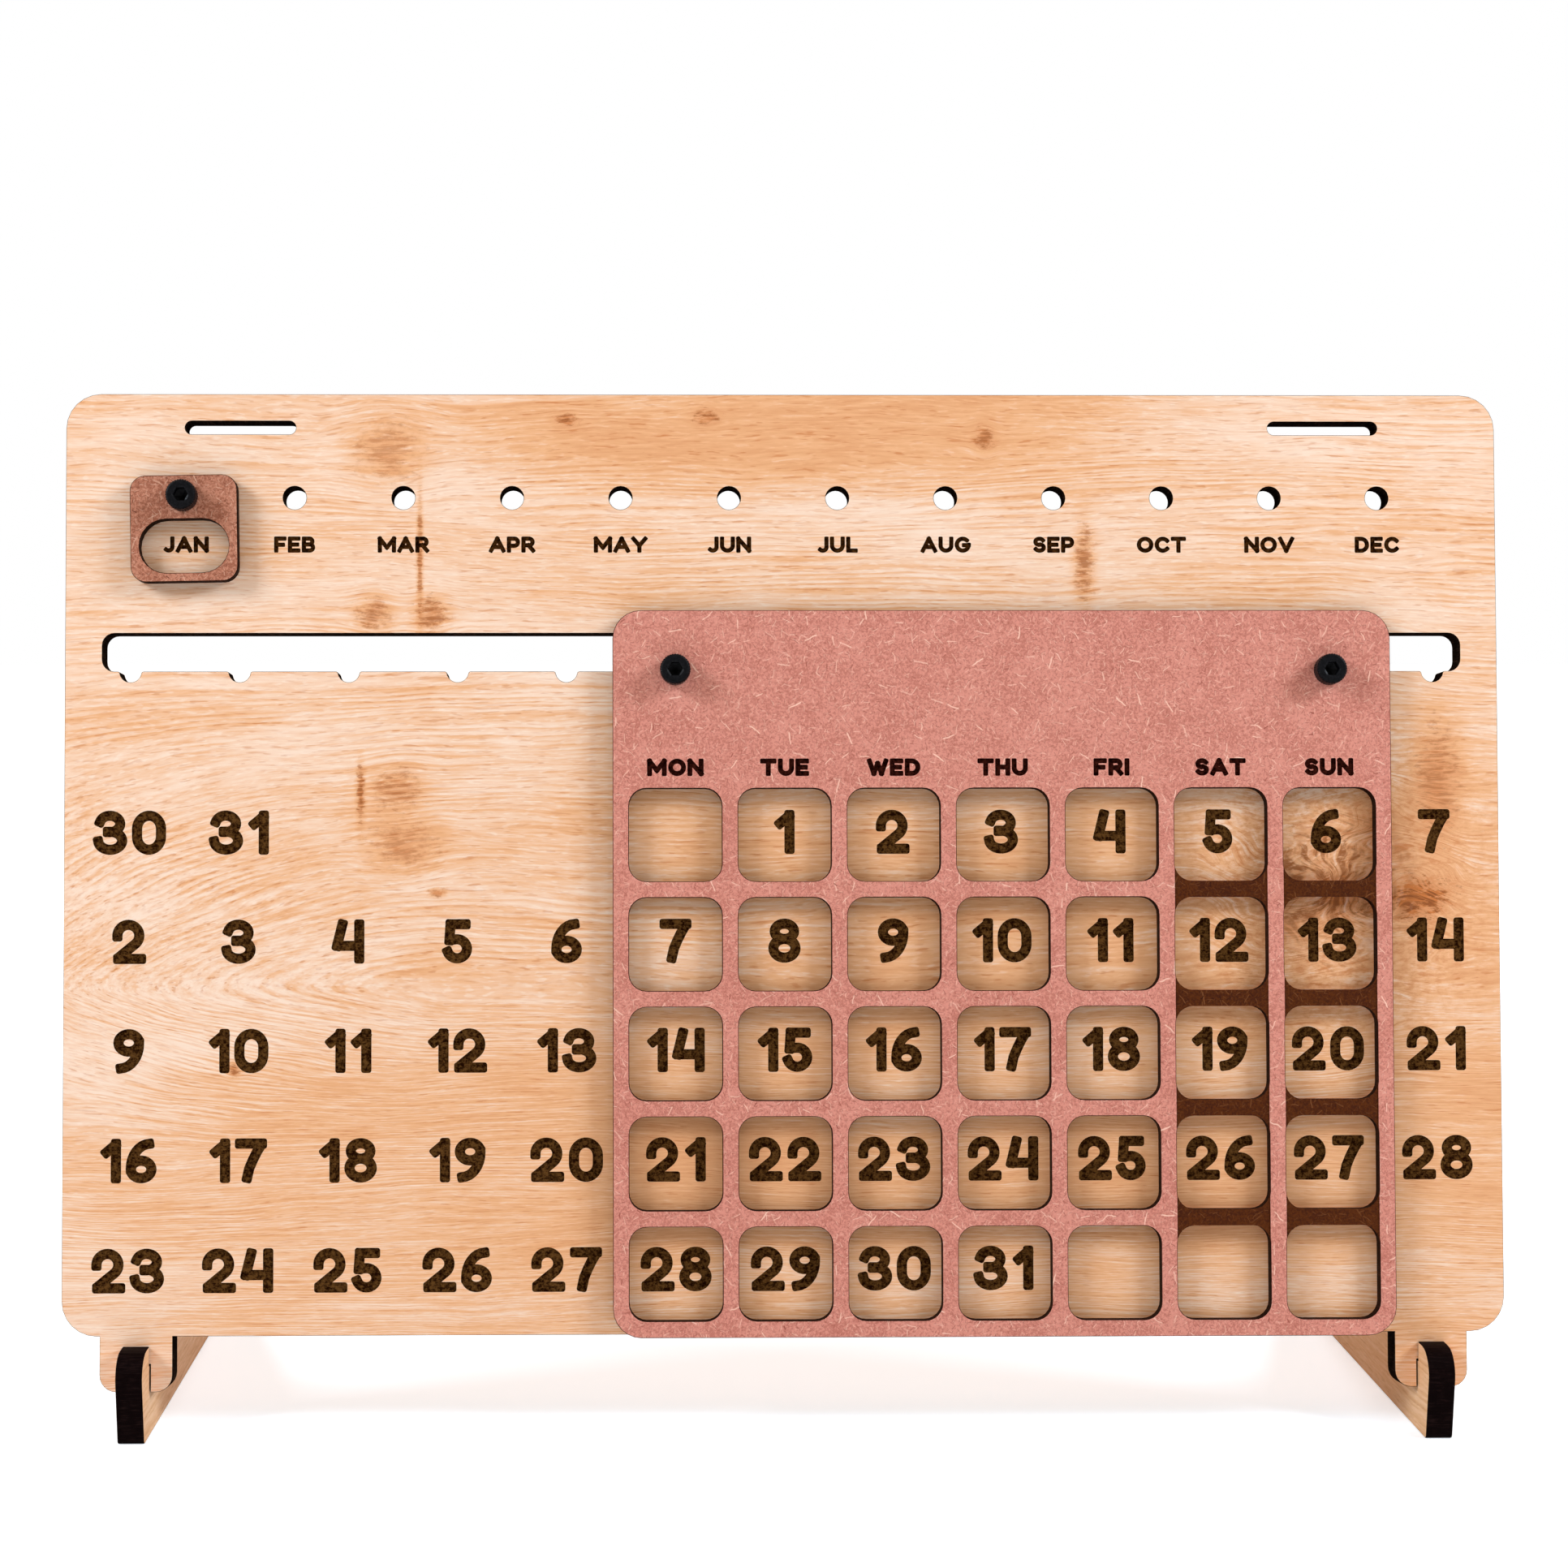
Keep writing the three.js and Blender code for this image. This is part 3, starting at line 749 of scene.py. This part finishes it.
def engraved(name, dark, bright, pitch, contrast):
    """Burnt floor of an engraving, with the fine lines of the raster it was burnt in."""
    g = material_graph(name)
    at = g.plane_coordinates(BOARD)
    y = g.split(at)[1]
    stretch = (RASTER_STRETCH[0], 1 / pitch, RASTER_STRETCH[1])
    lines = g.pattern(at, stretch, (0, 0, 0), *RASTER_DETAIL)
    raster = g.math("SINE", g.math("MULTIPLY", y, math.tau / pitch))
    tone = g.math("MULTIPLY_ADD", lines, *LINE_TONE)
    tone = g.math("MULTIPLY_ADD", raster, RASTER_TONE, tone)
    tone = g.vary(g.noise(at, *BURN_SOOT), contrast, tone)
    color = g.mix(g.span(tone, *BURN_RISE), rgb(*dark), rgb(*bright))
    return g.surface(color, BURN_ROUGHNESS, g.bump(tone, *BURN_BUMP), Specular_IOR_Level=0.0)


def charred(name, matrix, dark, bright, specular):
    """Burnt cut edge: near-black soot with faint striations through the thickness."""
    g = material_graph(name)
    at = g.plane_coordinates(matrix)
    stripes = g.pattern(at, *STRIPES)
    soot = g.noise(at, *EDGE_SOOT)
    tone = g.vary(soot, EDGE_SOOT_TONE, stripes)
    color = g.mix(g.span(tone, *EDGE_RISE), rgb(*dark), rgb(*bright))
    rough = g.span(soot, *EDGE_ROUGHNESS)
    return g.surface(color, rough, g.bump(stripes, *EDGE_BUMP), Specular_IOR_Level=specular)


def steel(name, base, tint, roughness, **constants):
    """Finished steel with faint handling marks."""
    g = material_graph(name)
    at = g.plane_coordinates(BOARD)
    marks = g.noise(at, *MARKS)
    color = g.mix(g.span(marks, *MARK_RISE), rgb(*base), rgb(*tint))
    rough = g.span(g.noise(at, *GLOSS), *GLOSS_RISE, *roughness)
    return g.surface(color, rough, g.bump(marks, *MARK_BUMP), **constants)


# Flat outlines
PLAN_DIGITS = 3
LEVEL_TOLERANCE = 0.02
SAME_POINT = 0.02
SHARPEST_OFFSET = 0.3
SHARPEST_STROKE = 0.5


def area(points):
    """Area of a closed loop, positive where it runs anticlockwise."""
    return sum(a.cross(b) for a, b in zip(points, points[1:] + points[:1])) / 2


def node_loops(node, matrix, level):
    """Closed loops of a plate's face at a level of its plane: its outline, then its holes."""
    to_plan = matrix.inverted()
    mesh = frame["nodes"][node].data
    flat = [to_plan @ vertex.co / MM for vertex in mesh.vertices]
    key = [(round(p.x, PLAN_DIGITS), round(p.y, PLAN_DIGITS)) for p in flat]
    on_level = [abs(p.z - level) < LEVEL_TOLERANCE for p in flat]
    edges = {}
    for polygon in mesh.polygons:
        corners = list(polygon.vertices)
        if not all(on_level[i] for i in corners):
            continue
        for a, b in zip(corners, corners[1:] + corners[:1]):
            if (key[b], key[a]) in edges:
                del edges[(key[b], key[a])]
            else:
                edges[(key[a], key[b])] = True
    after = {a: b for a, b in edges}
    loops = []
    while after:
        start, point = next(iter(after.items()))
        loop = [start]
        del after[start]
        while point != start:
            loop.append(point)
            point = after.pop(point)
        loops.append([Vector(p) for p in loop])
    loops.sort(key=lambda points: -abs(area(points)))
    return [loops[0] if area(loops[0]) > 0 else loops[0][::-1]] + [
        points[::-1] if area(points) > 0 else points for points in loops[1:]
    ]


def turning(before, point, after):
    """Direction into a point of a line, and the normal that halves the line's turn there."""
    into = (point - before).normalized()
    out = (after - point).normalized()
    return into, Vector((-into.y - out.y, into.x + out.x)).normalized()


def offset_loop(points, distance):
    """Loop moved to the left of its direction by a distance."""
    moved = []
    for before, point, after in zip(points[-1:] + points[:-1], points, points[1:] + points[:1]):
        into, normal = turning(before, point, after)
        slant = max(normal.dot((-into.y, into.x)), SHARPEST_OFFSET)
        moved.append(point + normal * distance / slant)
    return moved


def sampled(stroke, scale, origin):
    """Points of a stroke's centre line in millimetres."""
    points = []
    for part in stroke:
        if part == RING:
            continue
        if len(part) == 2:
            points.append(Vector(part))
            continue
        x, y, radius_x, radius_y, start, end = part
        steps = math.ceil(abs(math.radians(end - start)) / ARC_STEP)
        for i in range(steps + 1):
            angle = math.radians(start + (end - start) * i / steps)
            points.append(Vector((x + radius_x * math.cos(angle), y + radius_y * math.sin(angle))))
    clean = []
    for point in points:
        placed = point * scale + origin
        if not clean or (placed - clean[-1]).length > SAME_POINT:
            clean.append(placed)
    return clean


def cap(point, along, half):
    """End of a stroke: blunt, with rounded corners."""
    side = Vector((along.y, -along.x))
    corner = half * CAP_ROUNDING
    flat = half - corner
    points = []
    for sign in (1, -1):
        centre = point + along * flat + side * flat * sign
        turns = range(CAP_STEPS + 1) if sign > 0 else range(CAP_STEPS, -1, -1)
        for i in turns:
            angle = math.pi / 2 * i / CAP_STEPS
            points.append(
                centre + side * sign * corner * math.cos(angle) + along * corner * math.sin(angle)
            )
    return points


def stroke_loops(stroke, scale, origin, width):
    """Outline of one stroke, and the loop inside it for a ring."""
    half = width / 2
    line = sampled(stroke, scale, origin)
    if stroke[0] == RING:
        if (line[0] - line[-1]).length < SAME_POINT:
            line.pop()
        return offset_loop(line, -half), offset_loop(line, half)
    right, left = [], []
    for before, point, after in zip(line, line[1:], line[2:]):
        into, normal = turning(before, point, after)
        reach = half / max(normal.dot((-into.y, into.x)), SHARPEST_STROKE)
        left.append(point + normal * reach)
        right.append(point - normal * reach)
    start = cap(line[0], (line[0] - line[1]).normalized(), half)
    end = cap(line[-1], (line[-1] - line[-2]).normalized(), half)
    return right + end + left[::-1] + start, None


def text_loops(text, middle, height, width, gap):
    """Loops of a short text centred on a point."""
    scale = height - width
    step = width + gap
    total = sum(GLYPHS[letter][0] * scale for letter in text) + step * (len(text) - 1)
    x = middle[0] - total / 2
    loops = []
    for letter in text:
        advance, strokes = GLYPHS[letter]
        origin = Vector((x, middle[1] - scale / 2))
        loops += [stroke_loops(stroke, scale, origin, width) for stroke in strokes]
        x += advance * scale + step
    return loops


def rectangle(x, y, width, height):
    """Loop of a rectangle centred on a point."""
    left, low = x - width / 2, y - height / 2
    corners = [(left, low), (left + width, low), (left + width, low + height), (left, low + height)]
    return [Vector(corner) for corner in corners]


# Meshes
CLOSEST_POINTS = 1e-5
LEVEL_DIGITS = 6


def linked(name, data):
    """Object of the scene that holds a mesh, a lamp or a camera."""
    obj = bpy.data.objects.new(name, data)
    bpy.context.scene.collection.objects.link(obj)
    return obj


def piece(name, bm, matrix, materials, body, slot, *nodes):
    """Turns a mesh drawn in millimetres in a plane into a piece that rides on a body."""
    for vertex in bm.verts:
        vertex.co = matrix @ (vertex.co * MM)
    mesh = bpy.data.meshes.new(name)
    bm.to_mesh(mesh)
    bm.free()
    for material in materials:
        mesh.materials.append(material)
    obj = linked(name, mesh)
    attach(obj, body)
    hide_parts(*nodes)


def add_face(bm, corners, material=0):
    """Adds a face without the corners that repeat, if three or more are left."""
    unique = [c for i, c in enumerate(corners) if c is not corners[i - 1]]
    if len(unique) > 2:
        bm.faces.new(unique).material_index = material


def plate(loops, front, thickness, rim, engravings=()):
    """Cut plate with burnt rims on both faces and engravings sunk in its front.

    Engravings are (loops, depth, material). Each loop is an outline and the loop inside it, if any.
    """
    points, faces = [], []

    def face(loop):
        if area(loop) < 0:
            loop = loop[::-1]
        faces.append(list(range(len(points), len(points) + len(loop))))
        points.extend(loop)
        return len(faces) - 1

    outline = face(loops[0])
    inner = face(offset_loop(loops[0], rim))
    holes = {face(loop) for loop in loops[1:]}
    hole_rims = {face(offset_loop(loop, rim)) for loop in loops[1:]}
    sunk = {}
    for strokes, depth, material in engravings:
        for outer, inside in strokes:
            number = face(outer)
            sunk[number] = (face(inside) if inside else None, depth, material)
    verts, _, triangles, _, _, members = delaunay_2d_cdt(points, [], faces, 0, CLOSEST_POINTS, True)

    kept = []
    for triangle, inside in zip(triangles, members):
        inside = set(inside)
        if outline not in inside or inside & holes:
            continue
        dip, material = 0.0, FACE if inner in inside and not inside & hole_rims else EDGE
        for number in sorted(inside & sunk.keys()):
            hollow, depth, burn = sunk[number]
            if hollow not in inside:
                dip, material = depth, burn
        kept.append((triangle, dip, material))

    sides = {}
    for number, (triangle, _, _) in enumerate(kept):
        for a, b in zip(triangle, triangle[1:] + triangle[:1]):
            sides.setdefault((min(a, b), max(a, b)), []).append((a, b, number))
    cut = {v for edge, users in sides.items() if len(users) == 1 for v in edge}

    bm = bmesh.new()
    made = {}

    def vertex(index, level):
        key = (index, round(level, LEVEL_DIGITS))
        if key not in made:
            made[key] = bm.verts.new((verts[index].x, verts[index].y, level))
        return made[key]

    def height(index, number):
        dip = kept[number][1]
        return front - (dip if dip else rim if index in cut else 0.0)

    def back(index):
        return front - thickness + (rim if index in cut else 0.0)

    for number, (triangle, _, material) in enumerate(kept):
        add_face(bm, [vertex(i, height(i, number)) for i in triangle], material)
        back_material = EDGE if material == EDGE else FACE
        add_face(bm, [vertex(i, back(i)) for i in reversed(triangle)], back_material)
    for users in sides.values():
        a, b, first = users[0]
        if len(users) == 1:
            wall = [vertex(b, height(b, first)), vertex(a, height(a, first)), vertex(a, back(a))]
            add_face(bm, wall + [vertex(b, back(b))], EDGE)
            continue
        second = users[1][2]
        high, low = (first, second) if kept[first][1] < kept[second][1] else (second, first)
        if high == second:
            a, b = b, a
        wall = [vertex(b, height(b, high)), vertex(a, height(a, high)), vertex(a, height(a, low))]
        if kept[high][1] != kept[low][1]:
            add_face(bm, wall + [vertex(b, height(b, low))], kept[low][2])
    return bm


def spun(rings):
    """Closed solid from rings (radius, height) about z, joined in their order.

    A radius may be a function of the angle, and zero for a first or last middle point.
    """
    bm = bmesh.new()
    rows = []
    for radius, level in rings:
        if radius == 0:
            rows.append([bm.verts.new((0, 0, level))])
            continue
        row = []
        for i in range(SPIN):
            angle = math.tau * i / SPIN
            r = radius(angle) if callable(radius) else radius
            row.append(bm.verts.new((r * math.cos(angle), r * math.sin(angle), level)))
        rows.append(row)
    pairs = list(zip(rows, rows[1:]))
    if len(rows[0]) > 1:
        pairs.append((rows[-1], rows[0]))
    for low, high in pairs:
        for i in range(SPIN):
            j = (i + 1) % SPIN
            places = ((low, i), (low, j), (high, j), (high, i))
            add_face(bm, [row[k % len(row)] for row, k in places])
    return bm


def hexagon(flats):
    """Radius of a hexagon as a function of the angle."""

    def radius(angle):
        side = angle % (math.pi / 3) - math.pi / 6
        return flats / 2 / math.cos(side)

    return radius


def thread(level):
    """Radius of the screw's thread at a level as a function of the angle."""

    def radius(angle):
        turn = (level / THREAD_PITCH - angle / math.tau) % 1.0
        return SHANK_RADIUS - THREAD_DEPTH * abs(2 * turn - 1)

    return radius


def knurl(angle):
    """Radius of the screw head's knurled side."""
    ridge = round(angle / math.tau * SPIN) % 2
    return HEAD_RADIUS - KNURL_DEPTH * ridge


def screw(tip):
    """Socket head cap screw with a threaded shank and a knurled head."""
    top = HEAD_SEAT + HEAD_HEIGHT
    tip_radius = SHANK_RADIUS - THREAD_DEPTH - TIP_CHAMFER[0]
    rings = [(0, tip), (tip_radius, tip), (tip_radius + TIP_CHAMFER[0], tip + TIP_CHAMFER[1])]
    level = tip + THREAD_START
    while level < HEAD_SEAT - THREAD_RUNOUT:
        rings.append((thread(level), level))
        level += THREAD_PITCH / THREAD_STEPS
    neck = SHANK_RADIUS - THREAD_DEPTH / 2
    flat = HEAD_RADIUS - HEAD_CHAMFER
    socket_edge = SOCKET_FLATS / 2 / math.cos(math.pi / 6) + SOCKET_CHAMFER
    socket = hexagon(SOCKET_FLATS)
    shoulder_inset, shoulder_drop = (HEAD_CHAMFER * share for share in HEAD_SHOULDER)
    rings += [
        (neck, HEAD_SEAT - NECK),
        (neck, HEAD_SEAT),
        (HEAD_RADIUS - HEAD_FOOT, HEAD_SEAT),
        (HEAD_RADIUS - KNURL_DEPTH - HEAD_FOOT_INSET, HEAD_SEAT + HEAD_FOOT),
        (knurl, HEAD_SEAT + KNURL_START),
        (knurl, top - HEAD_CHAMFER),
        (lambda angle: knurl(angle) - shoulder_inset, top - shoulder_drop),
        (flat, top - HEAD_ROUNDING),
        (flat - HEAD_TOP_INSET, top),
        (socket_edge, top),
        (socket, top - SOCKET_CHAMFER),
        (socket, top - SOCKET_DEPTH),
        (0, top - SOCKET_DEPTH - SOCKET_CONE),
    ]
    return spun(rings)


def washer():
    """Flat washer with its outer edges rounded, more so at its front."""
    back = WASHER_FRONT - WASHER_THICKNESS
    rings = [
        (BORE_RADIUS, back),
        (WASHER_RADIUS - WASHER_ROUNDING, back),
        (WASHER_RADIUS, back + WASHER_ROUNDING),
        (WASHER_RADIUS, WASHER_FRONT - WASHER_ROUNDING * 2),
        (WASHER_RADIUS - WASHER_ROUNDING * 2, WASHER_FRONT),
        (BORE_RADIUS + WASHER_ROUNDING, WASHER_FRONT),
        (BORE_RADIUS, WASHER_FRONT - WASHER_ROUNDING),
    ]
    return spun(rings)


def nut():
    """Hexagon nut with both faces chamfered and a chamfered bore."""
    back = NUT_FRONT - NUT_THICKNESS
    face_radius = NUT_FLATS / 2 * NUT_FACE
    slope = math.tan(NUT_CHAMFER)
    side = hexagon(NUT_FLATS)
    rings = [
        (BORE_RADIUS, back + BORE_CHAMFER),
        (BORE_RADIUS + BORE_CHAMFER, back),
        (face_radius, back),
        (side, back),
        (side, NUT_FRONT),
        (face_radius, NUT_FRONT),
        (BORE_RADIUS + BORE_CHAMFER, NUT_FRONT),
        (BORE_RADIUS, NUT_FRONT - BORE_CHAMFER),
    ]
    bm = spun(rings)
    for vertex in bm.verts:
        if math.hypot(vertex.co.x, vertex.co.y) > face_radius + 1e-6:
            drop = (side(math.atan2(vertex.co.y, vertex.co.x)) - face_radius) * slope
            vertex.co.z += drop if vertex.co.z < (back + NUT_FRONT) / 2 else -drop
    return bm


# Finishes
BOARD_KNOTS = (
    Spot(-97.2, 124.0, 1.1, 7.5, 0.8),
    Spot(-89.0, 124.5, 6.5, 5.5, 0.42),
    Spot(-87.5, 112.0, 9.0, 6.0, 0.32),
    Spot(-83.7, 178.0, 0.8, 16.0, 0.65),
    Spot(-94.0, 165.0, 4.5, 4.5, 0.52),
    Spot(-81.0, 165.0, 4.5, 4.5, 0.6),
    Spot(-91.0, 203.0, 9.0, 8.0, 0.28),
    Spot(-50.0, 210.0, 3.4, 1.8, 0.8),
    Spot(-18.0, 211.0, 3.6, 2.2, 0.75),
    Spot(46.6, 206.0, 2.5, 3.5, 0.6),
    Spot(69.5, 177.0, 2.6, 10.0, 0.55),
    Spot(-126.0, 60.5, 1.8, 1.8, 0.8),
    Spot(-79.5, 101.0, 2.4, 1.2, 0.7),
    Spot(146.0, 99.5, 9.0, 5.5, 1.3),
    Spot(128.0, 100.5, 9.0, 6.5, 0.95),
    Spot(114.5, 92.0, 4.5, 3.0, 0.5),
    Spot(137.0, 113.0, 5.0, 8.0, 0.5),
    Spot(151.0, 126.0, 6.0, 16.0, 0.45),
)
# Stains of the oak; the widest one also paints shade, as marked below.
BOARD_STAINS_AND_SHADE = (
    Spot(8.0, 209.0, 100.0, 24.0, 0.75),
    Spot(150.0, 118.0, 26.0, 42.0, 0.25),
    Spot(127.0, 108.0, 26.0, 26.0, 0.4),
    Spot(-120.0, 140.0, 45.0, 26.0, -0.12),
    Spot(140.0, 195.0, 60.0, 25.0, -0.12),
    Spot(-70.0, 30.0, 110.0, 55.0, 0.35),
    Spot(160.0, 25.0, 45.0, 60.0, 0.2),
    # Partly the oak's own amber tone, partly painted warm shade over the week frame's windows where
    # it rests.
    Spot(70.0, 62.0, 180.0, 110.0, 0.55),
)
board_oak = oak(
    "oiled oak",
    BOARD,
    Rings(77.0, -69.0, 0.0027, 8.0, 2.2, 85.0, 1.5),
    ((0.96, 0.725, 0.57), (0.86, 0.455, 0.23), (0.6, 0.19, 0.05), (0.29, 0.085, 0.022)),
    BOARD_KNOTS,
    BOARD_STAINS_AND_SHADE,
    Burl(127.0, 102.0, 22.0, 0.85),
)
leg_oak = oak(
    "pale oak",
    LEG_PLANE,
    Rings(90.0, -400.0, 0.0, 8.0, 1.0, 85.0, 1.9),
    ((0.77, 0.485, 0.29), (0.66, 0.355, 0.17), (0.48, 0.22, 0.095), (0.37, 0.155, 0.075)),
)
board_edge = charred(
    "charred oak edge", BOARD, (0.0061, 0.0034, 0.0023), (0.061, 0.029, 0.0184), 0.0
)
leg_edge = charred(
    "charred leg edge", LEG_PLANE, (0.003, 0.001, 0.001), (0.022, 0.01, 0.009), 0.015
)
plate_edge = charred(
    "charred fibreboard edge", BOARD, (0.0122, 0.0045, 0.0023), (0.056, 0.0181, 0.0104), 0.01
)
numeral_burn = engraved(
    "engraved numerals", (0.012, 0.0025, 0.0005), (0.115, 0.05, 0.013), RASTER_PITCH, 1.8
)
month_burn = engraved(
    "engraved month names", (0.006, 0.0015, 0.0005), (0.072, 0.026, 0.006), RASTER_PITCH, 1.6
)
letter_burn = engraved(
    "engraved day names", (0.004, 0.0006, 0.0005), (0.05, 0.01, 0.006), DAY_RASTER_PITCH, 1.4
)
band_burn = fibreboard(
    "burnt weekend bands",
    (0.092, 0.02, 0.001),
    (0.052, 0.009, 0.0005),
    (0.19, 0.065, 0.02),
    (0.022, 0.0035, 0.0005),
)
pink_board = fibreboard(
    "pink fibreboard",
    (0.71, 0.285, 0.218),
    (0.54, 0.185, 0.137),
    (0.92, 0.57, 0.44),
    (0.32, 0.075, 0.052),
)
brown_board = fibreboard(
    "brown fibreboard",
    (0.54, 0.225, 0.14),
    (0.33, 0.11, 0.062),
    (0.75, 0.45, 0.32),
    (0.13, 0.035, 0.02),
)
black_steel = steel(
    "black oxide steel",
    (0.002, 0.002, 0.0025),
    (0.007, 0.0065, 0.008),
    (0.3, 0.45),
    Specular_IOR_Level=0.06,
)
zinc_steel = steel(
    "bright zinc", (0.36, 0.365, 0.375), (0.25, 0.255, 0.265), (0.28, 0.45), Metallic=1.0
)

# The board with its numerals and month names
numerals = []
for row in range(ROWS):
    for column in range(COLUMNS):
        day = WEEK * row + column + FIRST_DAY
        if day <= 0:
            day += LONGEST_WRAP
        if day <= MONTH_LENGTH:
            middle = (centred(column, COLUMNS), NUMERAL_ROW - row * PITCH)
            numerals += text_loops(str(day), middle, NUMERAL_HEIGHT, NUMERAL_STROKE, NUMERAL_GAP)
month_names = []
for number, month in enumerate(MONTHS):
    middle = (centred(number, len(MONTHS)), MONTH_LETTER_ROW)
    month_names += text_loops(
        month, middle, MONTH_LETTER_HEIGHT, MONTH_LETTER_STROKE, MONTH_LETTER_GAP
    )
mesh = plate(
    node_loops("back_board", BOARD, 0.0),
    0.0,
    BOARD_THICKNESS,
    BOARD_RIM,
    [(numerals, ENGRAVING_DEPTH, BURN), (month_names, ENGRAVING_DEPTH, SECOND_BURN)],
)
looks = [board_oak, board_edge, numeral_burn, month_burn]
piece("oak_board", mesh, BOARD, looks, "board", "oak_veneer", "back_board")

# The week frame with its day names and dark weekend bands
bands, day_names = [], []
band_height = PITCH - WINDOW + 2 * WINDOW_CORNER
for column, weekday in enumerate(WEEKDAYS):
    x = centred(column, WEEK)
    day_names += text_loops(
        weekday, (x, DAY_LETTER_ROW), DAY_LETTER_HEIGHT, DAY_LETTER_STROKE, DAY_LETTER_GAP
    )
    if column in WEEKEND:
        for row in range(ROWS - 1):
            y = FIRST_WINDOW_ROW - (row + 0.5) * PITCH
            bands.append((rectangle(x, y, WINDOW, band_height), None))
mesh = plate(
    node_loops("week_frame", SLIDER, PLATE_FRONT),
    PLATE_FRONT,
    PLATE_THICKNESS,
    PLATE_RIM,
    [(bands, BAND_DEPTH, BURN), (day_names, ENGRAVING_DEPTH, SECOND_BURN)],
)
looks = [pink_board, plate_edge, band_burn, letter_burn]
piece("fibreboard_week_frame", mesh, SLIDER, looks, "week_slider", "pink_fibreboard", "week_frame")

# The month marker
loops = node_loops("month_marker", MARKER, PLATE_FRONT)
mesh = plate(loops, PLATE_FRONT, PLATE_THICKNESS, PLATE_RIM)
looks = [brown_board, plate_edge]
piece("fibreboard_month_marker", mesh, MARKER, looks, "marker", "brown_fibreboard", "month_marker")

# The legs
for side, word in ((-1, "left"), (1, "right")):
    plane = leg_plane(side * LEG_AT)
    loops = node_loops(f"{word}_leg", plane, LEG_THICKNESS / 2)
    mesh = plate(loops, LEG_THICKNESS / 2, LEG_THICKNESS, LEG_RIM)
    looks = [leg_oak, leg_edge]
    piece(f"oak_{word}_leg", mesh, plane, looks, "feet", "leg_wood", f"{word}_leg")

# Screws, washers and nuts
for side, word in ((-1, "left"), (1, "right")):
    place = SLIDER @ Matrix.Translation((side * centred(WEEK - 1, WEEK) * MM, 0, 0))
    for name, mesh, finish, slot, node in (
        ("cap_screw", screw(FRAME_BOLT_TIP), black_steel, "black_steel", "frame_bolt"),
        ("flat_washer", washer(), zinc_steel, "zinc_steel", "frame_washer"),
        ("hexagon_nut", nut(), zinc_steel, "zinc_steel", "frame_nut"),
    ):
        piece(f"{name}_{word}", mesh, place, [finish], "week_slider", slot, f"{node}_{word}")
bolt = screw(MARKER_BOLT_TIP)
piece("cap_screw_marker", bolt, MARKER, [black_steel], "marker_peg", "black_steel", "marker_bolt")


def floor_material():
    """Pale floor that shows white away from the object, and keeps the object's shadow."""
    g = material_graph("white floor")
    away = g.length(g.add("ShaderNodeTexCoord", {}).outputs["Object"])
    strength = g.math("MULTIPLY", g.shown(), g.span(away, *GLOW_RISE))
    matte = g.add("ShaderNodeBsdfDiffuse", {"Color": rgb(*FLOOR_COLOR)}).outputs[0]
    glow = g.add("ShaderNodeEmission", {"Color": rgb(*FLOOR_GLOW), "Strength": strength})
    g.output(g.add("ShaderNodeAddShader", {0: matte, 1: glow.outputs[0]}).outputs[0])
    return g.owner


def studio_world():
    """Surroundings that give a dim warm light, and are seen as white."""
    g = Graph(bpy.data.worlds.new("studio"))
    ambient = {"Color": rgb(*AMBIENT_COLOR), "Strength": AMBIENT_STRENGTH}
    backdrop = {"Color": rgb(*BACKDROP_COLOR), "Strength": BACKDROP_STRENGTH}
    shaders = {
        0: g.shown(),
        1: g.add("ShaderNodeBackground", ambient).outputs[0],
        2: g.add("ShaderNodeBackground", backdrop).outputs[0],
    }
    g.output(g.add("ShaderNodeMixShader", shaders).outputs[0], "ShaderNodeOutputWorld")
    return g.owner


# Floor and surroundings
floor_bm = bmesh.new()
bmesh.ops.create_grid(floor_bm, x_segments=2, y_segments=2, size=FLOOR_SIZE / 2)
floor_mesh = bpy.data.meshes.new("floor")
floor_bm.to_mesh(floor_mesh)
floor_bm.free()
floor_mesh.materials.append(floor_material())
floor = linked("floor", floor_mesh)
bpy.context.scene.world = studio_world()

# Lamps
for name, place, target, size, power in LAMPS:
    lamp = bpy.data.lights.new(name, "AREA")
    lamp.color = LAMP_WHITE
    lamp.shape = "SQUARE"
    lamp.size = size
    lamp.energy = power
    softbox = linked(name, lamp)
    softbox.location = place
    aim = Vector(target) - Vector(place)
    softbox.rotation_euler = aim.to_track_quat("-Z", "Y").to_euler()

# Camera
camera_data = bpy.data.cameras.new("camera")
camera_data.sensor_width = CAMERA_SENSOR
camera_data.lens = CAMERA_LENS
camera_data.shift_x, camera_data.shift_y = CAMERA_SHIFT
camera_data.clip_start, camera_data.clip_end = CAMERA_CLIP
camera = linked("camera", camera_data)
camera.location = CAMERA_AT
camera.rotation_euler = (math.pi / 2 - CAMERA_DOWN, 0, CAMERA_TURN)
bpy.context.scene.camera = camera
bpy.context.scene.view_settings.view_transform = "Standard"
